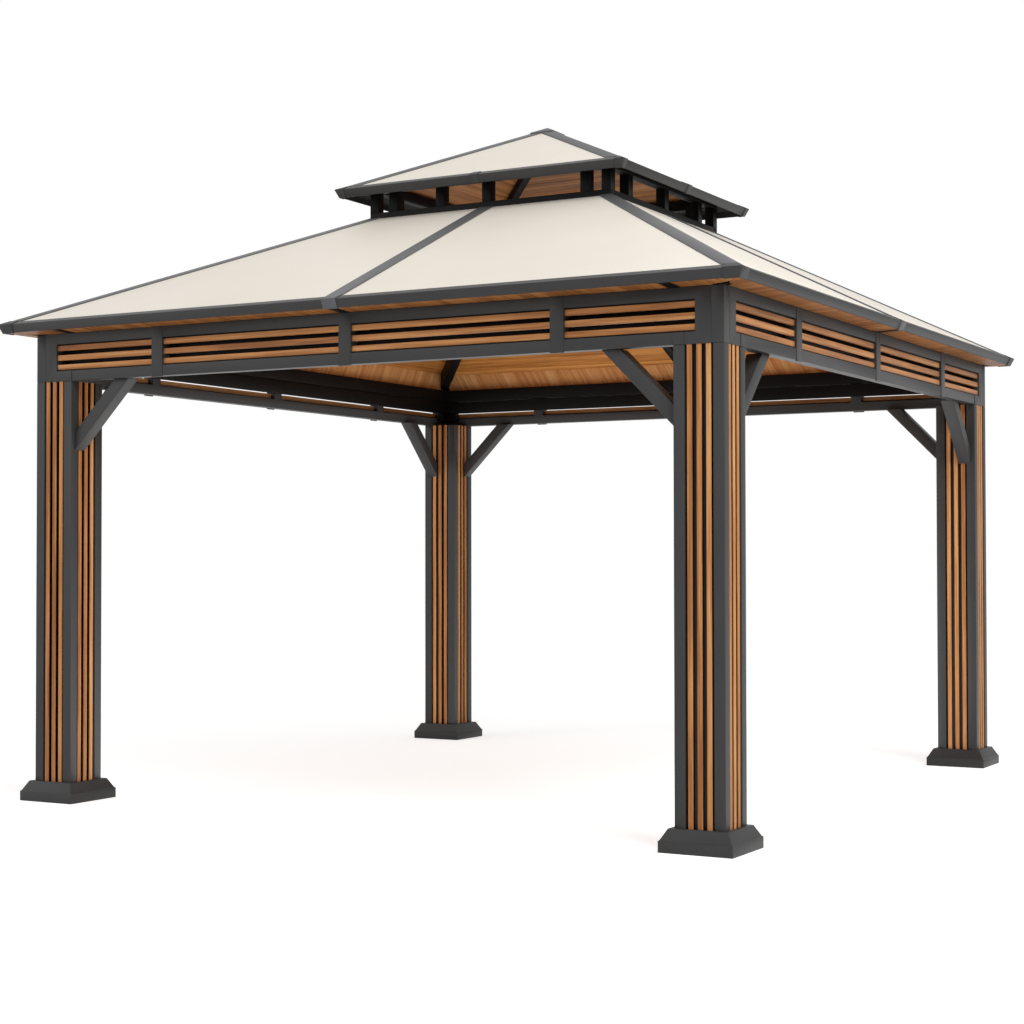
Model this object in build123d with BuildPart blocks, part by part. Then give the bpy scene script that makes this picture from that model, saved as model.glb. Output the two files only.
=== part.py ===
from build123d import *
import os
from math import hypot

# Open garden gazebo with a two-tier hip roof on four slatted posts.
# Millimetres, +Z up. The origin is on the ground, in the middle of the plan.
# The front looks along -Y and the right side along +X.

# Plan and main levels.
frame_x = 3600              # outside of the beams, left to right
frame_y = 3800              # outside of the beams, front to back
head_height = 2020          # clear height under the beams
eave_overhang = 130         # lower eave beyond the beams, in plan
eave_lift = 40              # top edge of the lower panels above the beams
lower_rise = 622            # lower eave to the vent curb
vent_x = 1380               # outside of the vent curb
vent_y = 1300
cupola_overhang = 130       # upper eave beyond the curb, in plan
cupola_lift = 108           # top edge of the upper panels above the curb
upper_rise = 376            # upper eave to the apex

# Posts.
post_width = 220
post_wall = 4
corner_strip = 48           # metal strip on each side of a post corner
recess_depth = 26           # how far the slats' bed lies behind the strips
slat_gap = 14               # between the three slats of a face
slat_edge_gap = 9           # between a slat and the corner strip
slat_thickness = 23
foot_plate_reach = 40       # plate beyond the post face
foot_plate_thickness = 8
head_plate_thickness = 8    # closes the post under the beams
anchor_reach = 18           # anchor holes beyond the post face
anchor_hole = 14

# Base covers.
cover_reach = 51            # cover beyond the post face, at the ground
cover_skirt = 48            # height of the upright skirt
cover_ledge = 4             # step between the skirt and the slope
cover_top_reach = 20        # cover beyond the post face, at the top
cover_height = 95
cover_wall = 5
cover_clearance = 0.3       # between the cover's collar and the post

# Beams.
beam_depth = 55             # front to back through the beam
beam_height = 230
rail_height = 50            # upper and lower rail
end_stile = 70
stile_width = 64
stile_plate = 8             # cover plate on the outside of each stile
stile_proud = 3             # the plate stands out from the rails
stile_drop = 5              # and hangs below them
stile_offset_x = 745        # outer corner to the middle of a stile, front and back
stile_offset_y = 830        # outer corner to the middle of a stile, on the two sides
beam_slat_height = 26
beam_slat_gap = 20          # between two slats
beam_slat_margin = 5        # least gap between a slat and a rail
beam_slat_depth = 18
beam_slat_setback = 8       # behind the outside face of the rails
ledger_depth = 45           # two rails along the inside of each beam
ledger_gap = 4

# Knee braces.
brace_leg = 333             # post face to the far end, along the beam
brace_section = 62          # square to the slope
brace_width = 70
brace_setback = 24          # behind the outside face of the post

# Roof layers, measured plumb.
panel_thickness = 10
lining_thickness = 8
cover_plate = 6             # hip and rib covers
panel_setback = 12          # panels stop short of the hip, in plan
lining_setback = 1.5
panel_split = 16            # joint between the two panels of a side
hip_cover_half = 46
rib_cover_width = 80
upper_hip_cover_half = 46
cap_share = 0.085           # share of the upper roof's half length that the apex cap covers
crown_gap = 6               # the upper hip covers stop short of the top, under the cap
fit = 0.3                   # seating clearance

# Eave trim.
fascia_depth = 25           # in plan, at the top
fascia_drop = 34            # below the eave height
fascia_lean = 18            # the foot of the face lies this far in
fascia_lip = 4              # above the panels' edge
fascia_flange = 16          # lies on the panels
corner_cap_reach = 84
upper_cap_reach = 50
rib_foot_width = 74
upper_joint_width = 46
trim_sheet = 2.5            # thickness of caps and joint covers
rib_foot_lap = 14           # the rib cover's foot laps over the rib

# Rafters.
rafter_width = 50
rafter_seat = 42            # length of the flat cut on the beam
hip_rafter_seat = 78        # the same on the corner, measured along the hip
tail_offset = 215           # outer corner to the rafter tail beside it, front and back
upper_rafter_width = 40
upper_rafter_depth = 48
king_block = 110            # block under the apex, square in plan
king_block_height = 70

# Vent between the two roofs.
curb_depth = 50
curb_rise = 30              # curb above the lower panels
curb_drop = 130             # curb below the lower panels
vent_post = 50
plate_height = 44           # frame under the upper roof
plate_depth = 50
vent_post_near_x = 140      # curb corner to the next post, front and back
vent_post_left_x = 420      # curb corner to the odd post on one side
vent_post_near_y = 225      # curb corner to the next post, left and right

# Worked out from the sizes above.
half_x = frame_x / 2
half_y = frame_y / 2
eave_x = half_x + eave_overhang
eave_y = half_y + eave_overhang
curb_x = vent_x / 2
curb_y = vent_y / 2
top_x = curb_x + cupola_overhang
top_y = curb_y + cupola_overhang
beam_top = head_height + beam_height
eave_height = beam_top + eave_lift
curb_height = eave_height + lower_rise
roof_layers = panel_thickness + lining_thickness
post_x = half_x - post_width / 2
post_y = half_y - post_width / 2
curb_top = curb_height + curb_rise
cupola_height = curb_top + cupola_lift
ridge_height = cupola_height + upper_rise
flange_end = fascia_depth + fascia_flange
trim_zone = 2 * fascia_drop     # height above and below the eave that holds all its trim

corners = {
    "front_left": (-1, -1),
    "front_right": (1, -1),
    "back_right": (1, 1),
    "back_left": (-1, 1),
}
# each side is drawn as the front one and turned by this angle
turns = {"front": 0, "right": 90, "back": 180, "left": 270}


def across(side, along_x, along_y):
    # half length along a side and its distance from the middle
    return (along_x, along_y) if turns[side] in (0, 180) else (along_y, along_x)


def on_slope(out, eave_z, run, rise, outline, lift, thickness):
    # plate on a roof plane: outline is (along the eave, in from the eave), both in plan
    slope = Plane(origin=(0, -out, eave_z + lift), x_dir=(1, 0, 0), z_dir=(0, -rise, run))
    stretch = hypot(run, rise) / run
    with BuildPart() as plate:
        with BuildSketch(slope):
            Polygon(*[(u, v * stretch) for u, v in outline], align=None)
        extrude(amount=thickness, dir=(0, 0, 1))
    return plate.part


def prism_along(profile, start, end):
    # profile in (in from the middle, height) drawn on the YZ plane, run along X
    with BuildPart() as run:
        with BuildSketch(Plane.YZ.offset(start)):
            Polygon(*profile, align=None)
        extrude(amount=end - start)
    return run.part


def mitred(run_part, along, out, depth, low, high, gap):
    # cut both ends of an edge run at 45 degrees so that neighbours meet at the corner
    with BuildPart() as piece:
        add(run_part)
        with BuildSketch(Plane.XY.offset(low)):
            Polygon((-along + gap, -out), (along - gap, -out), (along - gap - depth, -out + depth),
                    (-along + gap + depth, -out + depth), align=None)
        extrude(amount=high - low, mode=Mode.INTERSECT)
    return piece.part


def hip_offset(along, ring, run, distance):
    # a distance square to the hip, turned into a distance along the eave
    return distance * hypot(along - ring, run) / run


def between_hips(along, lean, trim, first, last):
    # outline from one hip to the other, between two distances in from the eave
    wide = along - lean * first - trim
    narrow = along - lean * last - trim
    return [(-wide, first), (wide, first), (narrow, last), (-narrow, last)]


def mirror_to_corner(piece, sx, sy):
    # a piece drawn for the front right corner, carried to another one
    if sx < 0:
        piece = mirror(piece, about=Plane.YZ)
    if sy > 0:
        piece = mirror(piece, about=Plane.XZ)
    return piece


def four_bars(size_x, size_y, depth, low, high):
    # a square frame of two long and two short bars that butt at the corners
    bars = []
    for s in (-1, 1):
        with BuildPart() as long_bar:
            with BuildSketch(Plane.XY.offset(low)):
                with Locations((0, s * (size_y - depth) / 2)):
                    Rectangle(size_x, depth)
            extrude(amount=high - low)
        with BuildPart() as short_bar:
            with BuildSketch(Plane.XY.offset(low)):
                with Locations((s * (size_x - depth) / 2, 0)):
                    Rectangle(depth, size_y - 2 * depth - 2 * fit)
            extrude(amount=high - low)
        bars += [long_bar.part, short_bar.part]
    return bars


os.makedirs("parts", exist_ok=True)

# Base covers, posts and their slats.
recess_width = post_width - 2 * corner_strip
slat_width = (recess_width - 2 * slat_gap - 2 * slat_edge_gap) / 3
foot_plate = post_width + 2 * foot_plate_reach
anchor_pitch = post_width + 2 * anchor_reach
core = post_width - 2 * recess_depth
slat_step = slat_width + slat_gap

with BuildPart() as base_cover:
    with BuildSketch():
        Rectangle(post_width + 2 * cover_reach, post_width + 2 * cover_reach)
    extrude(amount=cover_skirt)
    with BuildSketch(Plane.XY.offset(cover_skirt)):
        Rectangle(post_width + 2 * (cover_reach - cover_ledge), post_width + 2 * (cover_reach - cover_ledge))
    with BuildSketch(Plane.XY.offset(cover_height)):
        Rectangle(post_width + 2 * cover_top_reach, post_width + 2 * cover_top_reach)
    loft()
    # hollow under the sheet, open at the ground
    with BuildSketch():
        Rectangle(post_width + 2 * (cover_reach - cover_wall), post_width + 2 * (cover_reach - cover_wall))
    extrude(amount=cover_skirt - cover_ledge, mode=Mode.SUBTRACT)
    with BuildSketch(Plane.XY.offset(cover_skirt - cover_ledge)):
        Rectangle(post_width + 2 * (cover_reach - cover_ledge - cover_wall),
                  post_width + 2 * (cover_reach - cover_ledge - cover_wall))
    with BuildSketch(Plane.XY.offset(cover_height - cover_wall)):
        Rectangle(post_width + 2 * (cover_top_reach - cover_wall),
                  post_width + 2 * (cover_top_reach - cover_wall))
    loft(mode=Mode.SUBTRACT)
    with BuildSketch():
        Rectangle(post_width + 2 * cover_clearance, post_width + 2 * cover_clearance)
    extrude(amount=cover_height, mode=Mode.SUBTRACT)


def post_outline(inset):
    # square with a bed for the slats on each face, drawn a distance inside the real outline
    Rectangle(post_width - 2 * inset, post_width - 2 * inset)
    for turn in (0, 90, 180, 270):
        with PolarLocations(core / 2 - inset + recess_depth / 2, 1, turn):
            Rectangle(recess_depth, recess_width + 2 * inset, mode=Mode.SUBTRACT)


with BuildPart() as column:
    with BuildSketch(Plane.XY.offset(foot_plate_thickness)):
        post_outline(0)
    extrude(amount=head_height - foot_plate_thickness)
    # folded sheet, closed at the top
    with BuildSketch(Plane.XY.offset(foot_plate_thickness)):
        post_outline(post_wall)
    extrude(amount=head_height - foot_plate_thickness - head_plate_thickness, mode=Mode.SUBTRACT)

with BuildPart() as post_slats:
    with BuildSketch(Plane.XY.offset(foot_plate_thickness)):
        for turn in (0, 90, 180, 270):
            with PolarLocations(core / 2 + slat_thickness / 2, 1, turn):
                with GridLocations(0, slat_step, 1, 3):
                    Rectangle(slat_thickness, slat_width)
    extrude(amount=head_height - foot_plate_thickness)

# two square tubes at 45 degrees, one under each beam
brace_inner = brace_leg - brace_section * 2 ** 0.5
with BuildPart() as knee_braces:
    face_x = half_x - post_width
    with BuildSketch(Plane.XZ.offset(half_y - brace_setback)):
        Polygon((face_x, head_height - brace_inner), (face_x, head_height - brace_leg),
                (face_x - brace_leg, head_height), (face_x - brace_inner, head_height), align=None)
    extrude(amount=-brace_width)
    face_y = half_y - post_width
    with BuildSketch(Plane.YZ.offset(half_x - brace_setback)):
        Polygon((-face_y, head_height - brace_inner), (-face_y, head_height - brace_leg),
                (-face_y + brace_leg, head_height), (-face_y + brace_inner, head_height), align=None)
    extrude(amount=-brace_width)

for name, (sx, sy) in corners.items():
    place = Pos(sx * post_x, sy * post_y)
    with BuildPart() as post:
        add(place * column.part)
        # stud on the outer corner of the post's head, between the ends of two beams
        with BuildSketch(Plane.XY.offset(head_height + fit)):
            with Locations((sx * (half_x - beam_depth / 2), sy * (half_y - beam_depth / 2))):
                Rectangle(beam_depth, beam_depth)
        extrude(amount=beam_height - fit)
    post.part.label = f"post_{name}"
    export_step(post.part, f"parts/post_{name}.step")
    for word, piece in (("base_cover", base_cover), ("post_slats", post_slats)):
        placed = place * piece.part
        placed.label = f"{word}_{name}"
        export_step(placed, f"parts/{word}_{name}.step")
    placed = mirror_to_corner(knee_braces.part, sx, sy)
    placed.label = f"knee_braces_{name}"
    export_step(placed, f"parts/knee_braces_{name}.step")

# Foot plates with their anchor holes, under the base covers.
with BuildPart() as foot_plates:
    with BuildSketch():
        with GridLocations(2 * post_x, 2 * post_y, 2, 2):
            Rectangle(foot_plate, foot_plate)
        with GridLocations(2 * post_x, 2 * post_y, 2, 2):
            with GridLocations(anchor_pitch, anchor_pitch, 2, 2):
                Circle(anchor_hole / 2, mode=Mode.SUBTRACT)
    extrude(amount=foot_plate_thickness)
foot_plates.part.label = "foot_plates"
export_step(foot_plates.part, "parts/foot_plates.step")

# Beams and their slats.
slat_bay = beam_height - 2 * rail_height
beam_slat_step = beam_slat_height + beam_slat_gap
beam_slat_count = int((slat_bay - 2 * beam_slat_margin + beam_slat_gap) / beam_slat_step)
# the slats stand in the middle of the height between the rails
beam_slat_start = rail_height + (slat_bay - beam_slat_count * beam_slat_step + beam_slat_gap) / 2

for side, turn in turns.items():
    along, out = across(side, half_x, half_y)
    offset = stile_offset_x if side in ("front", "back") else stile_offset_y
    span = along - beam_depth
    middle = out - beam_depth / 2
    stiles = (-(along - offset), 0, along - offset)

    with BuildPart() as beam:
        with BuildSketch(Plane.XY.offset(head_height)):
            with Locations((0, -middle)):
                Rectangle(2 * span, beam_depth)
        extrude(amount=beam_height)
        with BuildSketch(Plane.XZ.offset(out)):
            with Locations((0, head_height + beam_height / 2)):
                Rectangle(2 * (span - end_stile), slat_bay)
        extrude(amount=-beam_depth, mode=Mode.SUBTRACT)
        with BuildSketch(Plane.XY.offset(head_height)):
            with Locations(*[(u, -middle) for u in stiles]):
                Rectangle(stile_width, beam_depth)
        extrude(amount=beam_height)
        with BuildSketch(Plane.XY.offset(head_height - stile_drop)):
            with Locations(*[(u, -(out + stile_proud - stile_plate / 2)) for u in stiles]):
                Rectangle(stile_width, stile_plate)
        extrude(amount=beam_height + stile_drop)
    placed = beam.part.rotate(Axis.Z, turn)
    placed.label = f"beam_{side}"
    export_step(placed, f"parts/beam_{side}.step")

    # slats run from stile to stile in four bays
    edges = [-(span - end_stile)]
    for u in stiles:
        edges += [u - stile_width / 2, u + stile_width / 2]
    edges.append(span - end_stile)
    with BuildPart() as beam_slats:
        for left, right in zip(edges[0::2], edges[1::2]):
            for row in range(beam_slat_count):
                low = head_height + beam_slat_start + row * beam_slat_step
                with BuildSketch(Plane.XY.offset(low)):
                    with Locations(((left + right) / 2, -(out - beam_slat_setback - beam_slat_depth / 2))):
                        Rectangle(right - left, beam_slat_depth)
                extrude(amount=beam_slat_height)
    placed = beam_slats.part.rotate(Axis.Z, turn)
    placed.label = f"beam_slats_{side}"
    export_step(placed, f"parts/beam_slats_{side}.step")

# Two ledger rails along the inside of each beam.
ledger_inset = beam_depth + fit
ledger_height = (beam_height - beam_slat_start - beam_slat_height - ledger_gap) / 2
with BuildPart() as ledger_rails:
    for level in (0, 1):
        top = beam_top - level * (ledger_height + ledger_gap)
        add(four_bars(frame_x - 2 * ledger_inset, frame_y - 2 * ledger_inset, ledger_depth,
                      top - ledger_height, top))
ledger_rails.part.label = "ledger_rails"
export_step(ledger_rails.part, "parts/ledger_rails.step")

# Lower roof: panels, lining, covers.
lower_lining = []
lower_hips = []
lower_ribs = []
lower_fascia = []
caps = []
rafters = []


def fascia_profile(out, eave_z, slope):
    # leaning face, upright back and a flange that lies on the panels
    lip = eave_z + fascia_lip
    foot = eave_z - fascia_drop
    back = -out + fascia_depth
    reach = -out + flange_end
    on_panel = eave_z + slope * flange_end
    return [(-out, lip), (-out + fascia_lean, foot), (back, foot),
            (back, eave_z + slope * fascia_depth + fit),
            (reach, on_panel + fit), (reach, on_panel + fascia_lip)]


def wrap_profile(out, eave_z, slope, reach):
    # sheet that follows the fascia outside, from the roof round to the soffit
    lip = eave_z + fascia_lip
    foot = eave_z - fascia_drop
    back = -out + fascia_depth
    top = lip + slope * reach
    reach -= out
    return [(-out - trim_sheet, lip + fit), (-out + fascia_lean - trim_sheet, foot - trim_sheet),
            (back, foot - trim_sheet), (back, foot - fit),
            (-out + fascia_lean - fit, foot - fit), (-out - fit, lip + fit),
            (reach, top + fit), (reach, top + fit + trim_sheet), (-out - trim_sheet, lip + fit + trim_sheet)]


def corner_cap_halves(along, out, eave_z, slope, reach):
    # the halves of two corner caps that lie on one side, mitred at the corners
    wrap = wrap_profile(out, eave_z, slope, flange_end)
    halves = []
    for s in (-1, 1):
        first, last = sorted((s * (along - reach), s * (along + trim_sheet)))
        halves.append(mitred(prism_along(wrap, first, last), along + trim_sheet, out + trim_sheet,
                             flange_end + trim_sheet + 1, eave_z - trim_zone, eave_z + trim_zone, 0))
    return halves


def fascia_run(along, out, eave_z, slope):
    return mitred(prism_along(fascia_profile(out, eave_z, slope), -along, along), along, out,
                  flange_end + 1, eave_z - trim_zone, eave_z + trim_zone, fit)


def tail_profile(out, wall_out, slope, inner, foot):
    # top under the boards, tail behind the fascia and a flat seat from the outside of the beam;
    # inner is measured in from the eave, foot is the height of the inner end
    tail = fascia_depth + fit
    soffit = eave_height - roof_layers - fit
    return [(-wall_out, beam_top + fit), (-out + tail, eave_height - fascia_drop),
            (-out + tail, soffit + slope * tail), (-out + inner, soffit + slope * inner),
            (-out + inner, foot)]


def rafter_profile(out, wall_out, slope, inner):
    # an even depth from the seat up to the inner end
    foot = beam_top + slope * (inner - eave_overhang - rafter_seat)
    return tail_profile(out, wall_out, slope, inner, foot) + [(-wall_out + rafter_seat, beam_top + fit)]


for side, turn in turns.items():
    along, out = across(side, eave_x, eave_y)
    ring, curb = across(side, curb_x, curb_y)
    wall_along, wall_out = across(side, half_x, half_y)
    run = out - curb
    slope = lower_rise / run
    lean = (along - ring) / run
    back = hip_offset(along, ring, run, panel_setback)
    trim = hip_offset(along, ring, run, lining_setback)
    start = fascia_depth + fit
    line = start + lining_setback

    with BuildPart() as roof_panels:
        for s in (-1, 1):
            add(on_slope(out, eave_height, run, lower_rise,
                         [(s * panel_split / 2, start), (s * (along - lean * start - back), start),
                          (s * (ring - back), run - fit), (s * panel_split / 2, run - fit)],
                         -panel_thickness, panel_thickness))
    placed = roof_panels.part.rotate(Axis.Z, turn)
    placed.label = f"lower_roof_{side}"
    export_step(placed, f"parts/lower_roof_{side}.step")

    # soffit boards out to the fascia, ceiling boards inside
    for first, last in ((line, eave_overhang - fit), (eave_overhang, run - fit)):
        lower_lining.append(on_slope(out, eave_height, run, lower_rise,
                                     between_hips(along, lean, trim, first, last),
                                     -roof_layers, lining_thickness).rotate(Axis.Z, turn))

    # half of each hip cover lies on this side
    half = hip_offset(along, ring, run, hip_cover_half)
    begin = flange_end + 2 * trim_sheet
    tip = along - lean * (run - fit)
    for s in (-1, 1):
        lower_hips.append(on_slope(out, eave_height, run, lower_rise,
                                   [(s * (along - lean * begin), begin), (s * tip, run - fit),
                                    (s * (tip - half), run - fit),
                                    (s * (along - lean * begin - half), begin)],
                                   0, cover_plate).rotate(Axis.Z, turn))

    # rib cover with its foot wrapped over the fascia
    with BuildPart() as rib:
        add(on_slope(out, eave_height, run, lower_rise,
                     [(-rib_cover_width / 2, flange_end + fit), (rib_cover_width / 2, flange_end + fit),
                      (rib_cover_width / 2, run - fit), (-rib_cover_width / 2, run - fit)], 0, cover_plate))
        add(prism_along(wrap_profile(out, eave_height, slope, flange_end + rib_foot_lap),
                        -rib_foot_width / 2, rib_foot_width / 2))
    lower_ribs.append(rib.part.rotate(Axis.Z, turn))

    lower_fascia.append(fascia_run(along, out, eave_height, slope).rotate(Axis.Z, turn))
    for half_cap in corner_cap_halves(along, out, eave_height, slope, corner_cap_reach):
        caps.append(half_cap.rotate(Axis.Z, turn))

    rafters.append(prism_along(rafter_profile(out, wall_out, slope, run - fit),
                               -rafter_width / 2, rafter_width / 2).rotate(Axis.Z, turn))
    # short tails beside the corners carry the soffit boards, front and back
    tails = (tail_offset - wall_along, wall_along - tail_offset) if side in ("front", "back") else ()
    for middle in tails:
        rafters.append(prism_along(tail_profile(out, wall_out, slope, eave_overhang + beam_depth,
                                                beam_top + fit),
                                   middle - rafter_width / 2, middle + rafter_width / 2).rotate(Axis.Z, turn))

with BuildPart() as lower_ceiling:
    add(lower_lining)
lower_ceiling.part.label = "lower_ceiling"
export_step(lower_ceiling.part, "parts/lower_ceiling.step")

with BuildPart() as lower_hip_covers:
    add(lower_hips)
lower_hip_covers.part.label = "lower_hip_covers"
export_step(lower_hip_covers.part, "parts/lower_hip_covers.step")

with BuildPart() as lower_rib_covers:
    add(lower_ribs)
lower_rib_covers.part.label = "lower_rib_covers"
export_step(lower_rib_covers.part, "parts/lower_rib_covers.step")

with BuildPart() as lower_eave:
    add(lower_fascia)
lower_eave.part.label = "lower_eave"
export_step(lower_eave.part, "parts/lower_eave.step")

# Hip rafters of the lower roof.
hip_run = hypot(eave_x - curb_x, eave_y - curb_y)
hip_plan = Vector(eave_x - curb_x, eave_y - curb_y).normalized()
# the flat top lies under both linings
ease = fit + rafter_width / 2 * max(lower_rise / (eave_x - curb_x) * hip_plan.Y,
                                    lower_rise / (eave_y - curb_y) * hip_plan.X)
hip_corner = hypot(eave_overhang, eave_overhang)
hip_seat = hip_corner + hip_rafter_seat
hip_soffit = eave_height - roof_layers - ease
hip_slope = lower_rise / hip_run
hip_depth = hip_soffit + hip_slope * hip_seat - beam_top
hip_end = hip_run + curb_depth


def hip_plane(corner_x, corner_y, plan):
    # upright plane through the front right hip, with its x axis running in from the corner
    return Plane(origin=(corner_x, -corner_y, 0), x_dir=(-plan.X, plan.Y, 0), z_dir=(plan.Y, plan.X, 0))


with BuildPart() as hip_rafter:
    with BuildSketch(hip_plane(eave_x, eave_y, hip_plan)):
        Polygon((hip_corner, hip_soffit + hip_slope * hip_corner), (hip_end, hip_soffit + hip_slope * hip_end),
                (hip_end, hip_soffit + hip_slope * hip_end - hip_depth),
                (hip_seat, beam_top + fit), (hip_corner, beam_top + fit), align=None)
    extrude(amount=rafter_width / 2, both=True)
    # notched round the corner of the curb
    with BuildSketch(Plane.XY.offset(beam_top)):
        Rectangle(vent_x + 2 * fit, vent_y + 2 * fit)
    extrude(amount=curb_top, mode=Mode.SUBTRACT)

with BuildPart() as lower_rafters:
    add(rafters)
    add(hip_rafter.part)
    add(mirror(hip_rafter.part, about=Plane.YZ))
    add(mirror(hip_rafter.part, about=Plane.XZ))
    add(mirror(mirror(hip_rafter.part, about=Plane.YZ), about=Plane.XZ))
lower_rafters.part.label = "lower_rafters"
export_step(lower_rafters.part, "parts/lower_rafters.step")

# Vent curb, vent posts and the frame they carry.
with BuildPart() as vent_curb:
    add(four_bars(vent_x, vent_y, curb_depth, curb_height - curb_drop, curb_top))
vent_curb.part.label = "vent_curb"
export_step(vent_curb.part, "parts/vent_curb.step")

upper_slope_x = upper_rise / top_x
upper_slope_y = upper_rise / top_y
plate_top = cupola_height - roof_layers + cupola_overhang * min(upper_slope_x, upper_slope_y) - fit
post_top = plate_top - plate_height

with BuildPart() as vent_posts:
    row_x = curb_x - vent_post / 2
    row_y = curb_y - vent_post / 2
    near_x = curb_x - vent_post_near_x
    near_y = curb_y - vent_post_near_y
    spots = [(sx * row_x, sy * row_y) for sx in (-1, 1) for sy in (-1, 1)]
    for s in (-1, 1):
        spots += [(s * row_x, u) for u in (-near_y, 0, near_y)]
        spots += [(u, s * row_y) for u in (-near_x, 0, near_x, s * (curb_x - vent_post_left_x))]
    with BuildSketch(Plane.XY.offset(curb_top)):
        with Locations(*spots):
            Rectangle(vent_post, vent_post)
    extrude(amount=post_top - curb_top)
vent_posts.part.label = "vent_posts"
export_step(vent_posts.part, "parts/vent_posts.step")

with BuildPart() as vent_plate:
    add(four_bars(vent_x, vent_y, plate_depth, post_top, plate_top))
vent_plate.part.label = "vent_plate"
export_step(vent_plate.part, "parts/vent_plate.step")

# Upper roof.
upper_panels = []
upper_lining = []
upper_hips = []
upper_fascia = []
upper_soffit = []
cap_faces = []

for side, turn in turns.items():
    along, out = across(side, top_x, top_y)
    slope = upper_rise / out
    lean = along / out
    start = fascia_depth + fit
    back = hip_offset(along, 0, out, panel_setback)
    trim = hip_offset(along, 0, out, lining_setback)
    half = hip_offset(along, 0, out, upper_hip_cover_half)
    wide = along - lean * start - back
    upper_panels.append(on_slope(out, cupola_height, out, upper_rise,
                                 [(-wide, start), (wide, start), (0, out - back / lean)],
                                 -panel_thickness, panel_thickness).rotate(Axis.Z, turn))
    # metal soffit out to the fascia, ceiling boards inside
    upper_soffit.append(on_slope(out, cupola_height, out, upper_rise,
                                 between_hips(along, lean, trim, start, cupola_overhang - fit),
                                 -roof_layers, lining_thickness).rotate(Axis.Z, turn))
    wide = along - lean * cupola_overhang - trim
    upper_lining.append(on_slope(out, cupola_height, out, upper_rise,
                                 [(-wide, cupola_overhang), (wide, cupola_overhang), (0, out - trim / lean)],
                                 -roof_layers, lining_thickness).rotate(Axis.Z, turn))
    begin = flange_end + 2 * trim_sheet
    crown = out - crown_gap
    for s in (-1, 1):
        upper_hips.append(on_slope(out, cupola_height, out, upper_rise,
                                   [(s * (along - lean * begin), begin), (s * (along - lean * crown), crown),
                                    (s * fit, crown), (s * fit, out - (half + fit) / lean),
                                    (s * (along - lean * begin - half), begin)],
                                   0, cover_plate).rotate(Axis.Z, turn))
    cap_faces.append(on_slope(out, cupola_height, out, upper_rise,
                              [(-along * cap_share, out * (1 - cap_share)),
                               (along * cap_share, out * (1 - cap_share)), (0, out)],
                              cover_plate, cover_plate).rotate(Axis.Z, turn))
    upper_fascia.append(fascia_run(along, out, cupola_height, slope).rotate(Axis.Z, turn))
    caps.append(prism_along(wrap_profile(out, cupola_height, slope, flange_end),
                            -upper_joint_width / 2, upper_joint_width / 2).rotate(Axis.Z, turn))
    for half_cap in corner_cap_halves(along, out, cupola_height, slope, upper_cap_reach):
        caps.append(half_cap.rotate(Axis.Z, turn))

with BuildPart() as upper_roof:
    add(upper_panels)
upper_roof.part.label = "upper_roof"
export_step(upper_roof.part, "parts/upper_roof.step")

with BuildPart() as upper_ceiling:
    add(upper_lining)
upper_ceiling.part.label = "upper_ceiling"
export_step(upper_ceiling.part, "parts/upper_ceiling.step")

with BuildPart() as upper_hip_covers:
    add(upper_hips)
upper_hip_covers.part.label = "upper_hip_covers"
export_step(upper_hip_covers.part, "parts/upper_hip_covers.step")

with BuildPart() as apex_cap:
    add(cap_faces)
apex_cap.part.label = "apex_cap"
export_step(apex_cap.part, "parts/apex_cap.step")

with BuildPart() as upper_eave:
    add(upper_fascia)
    add(upper_soffit)
upper_eave.part.label = "upper_eave"
export_step(upper_eave.part, "parts/upper_eave.step")

with BuildPart() as eave_caps:
    add(caps)
eave_caps.part.label = "eave_caps"
export_step(eave_caps.part, "parts/eave_caps.step")

# Hip rafters of the upper roof and the block where they meet.
top_run = hypot(top_x, top_y)
top_plan = Vector(top_x, top_y).normalized()
top_slope = upper_rise / top_run
top_ease = upper_rafter_width / 2 * max(upper_slope_x * top_plan.Y, upper_slope_y * top_plan.X) + fit
top_soffit = cupola_height - roof_layers - top_ease
top_start = hypot(cupola_overhang, cupola_overhang)
block_top = ridge_height - roof_layers - king_block / 2 * max(upper_slope_x, upper_slope_y) - fit
block_low = block_top - king_block_height

with BuildPart() as top_rafter:
    with BuildSketch(hip_plane(top_x, top_y, top_plan)):
        Polygon((top_start, top_soffit + top_slope * top_start - upper_rafter_depth),
                (top_start, top_soffit + top_slope * top_start),
                (top_run, top_soffit + top_slope * top_run),
                (top_run, top_soffit + top_slope * top_run - upper_rafter_depth), align=None)
    extrude(amount=upper_rafter_width / 2, both=True)
    # flat seat on the frame over the vent posts, and notched round the block
    with BuildSketch(Plane.XY.offset(curb_top)):
        Rectangle(2 * top_x, 2 * top_y)
    extrude(amount=plate_top + fit - curb_top, mode=Mode.SUBTRACT)
    with BuildSketch(Plane.XY.offset(plate_top)):
        Rectangle(king_block + 2 * fit, king_block + 2 * fit)
    extrude(amount=ridge_height - plate_top, mode=Mode.SUBTRACT)

with BuildPart() as king:
    with BuildSketch(Plane.XY.offset(block_low)):
        Rectangle(king_block, king_block)
    extrude(amount=king_block_height)

with BuildPart() as upper_rafters:
    add(top_rafter.part)
    add(mirror(top_rafter.part, about=Plane.YZ))
    add(mirror(top_rafter.part, about=Plane.XZ))
    add(mirror(mirror(top_rafter.part, about=Plane.YZ), about=Plane.XZ))
    add(king.part)
upper_rafters.part.label = "upper_rafters"
export_step(upper_rafters.part, "parts/upper_rafters.step")
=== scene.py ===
import bmesh
import bpy
import math
import numpy as np
from mathutils import Matrix, Vector


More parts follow.
